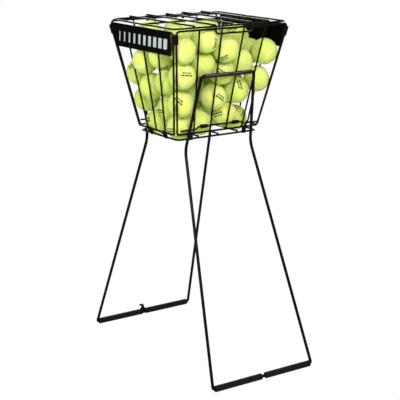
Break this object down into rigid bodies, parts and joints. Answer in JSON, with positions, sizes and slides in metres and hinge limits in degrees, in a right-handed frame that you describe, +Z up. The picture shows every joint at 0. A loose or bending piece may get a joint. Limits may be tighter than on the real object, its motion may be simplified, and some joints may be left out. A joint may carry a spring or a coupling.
{
  "type": "tennis ball hopper",
  "caption": "Tapered wire basket of tennis balls with a hinged wire lid, on two folding rod leg frames that swing up to form a carrying handle.",
  "frame": {"origin": "on the floor, under the middle of the basket, midway between the two foot bars", "axes": "+Z up; +X to the right along the front panel's width; -Y is the front, where the lid's finger lip is"},
  "size_m": [0.346, 0.6029, 0.875],
  "materials": {
    "wire": "semi-gloss black powder coat",
    "leg_rod": "gloss black powder coat",
    "moulded_plastic": "matte black moulded nylon",
    "grip_foam": "matte black rubber sleeve",
    "sign_plate": "satin black moulded plate",
    "ball_felt": "optic yellow felt"
  },
  "bodies": {
    "basket": {"front_panel": "wire", "back_panel": "wire", "left_end_panel": "wire", "right_end_panel": "wire", "bottom_grid": "wire", "front_keeper_wire": "wire", "back_keeper_wire": "wire", "front_pivot_tube": "leg_rod", "back_pivot_tube": "leg_rod", "front_keeper_sleeves": "moulded_plastic", "back_keeper_sleeves": "moulded_plastic", "bottom_clips": "moulded_plastic", "front_left_corner_clip": "moulded_plastic", "front_right_corner_clip": "moulded_plastic", "back_left_corner_clip": "moulded_plastic", "back_right_corner_clip": "moulded_plastic", "left_sign_plate": "sign_plate", "right_sign_plate": "sign_plate", "tennis_balls": "ball_felt"},
    "lid": {"lid_grid": "wire", "lid_hinge_wire": "wire"},
    "front_legs": {"front_leg_frame": "leg_rod", "front_left_grip": "grip_foam", "front_right_grip": "grip_foam"},
    "back_legs": {"back_leg_frame": "leg_rod", "back_left_grip": "grip_foam", "back_right_grip": "grip_foam"},
    "carry_clip": {"carry_clip": "moulded_plastic"}
  },
  "joints": [
    {"name": "front_leg_swing", "type": "hinge", "parent": "basket", "child": "front_legs", "pos_m": [0, -0.13274, 0.7475], "axis": [-1, 0, 0], "range_deg": [0, 177.58]},
    {"name": "back_leg_swing", "type": "hinge", "parent": "basket", "child": "back_legs", "pos_m": [0, 0.13274, 0.7475], "axis": [1, 0, 0], "range_deg": [0, 177.58]},
    {"name": "lid_hinge", "type": "hinge", "parent": "basket", "child": "lid", "pos_m": [0, 0.154, 0.863], "axis": [-1, 0, 0], "range_deg": [0, 78]},
    {"name": "carry_clip_turn", "type": "hinge", "parent": "back_legs", "child": "carry_clip", "pos_m": [0, 0.2886, 0.0077], "axis": [-1, 0, 0], "range_deg": [-44, 43.57]}
  ]
}
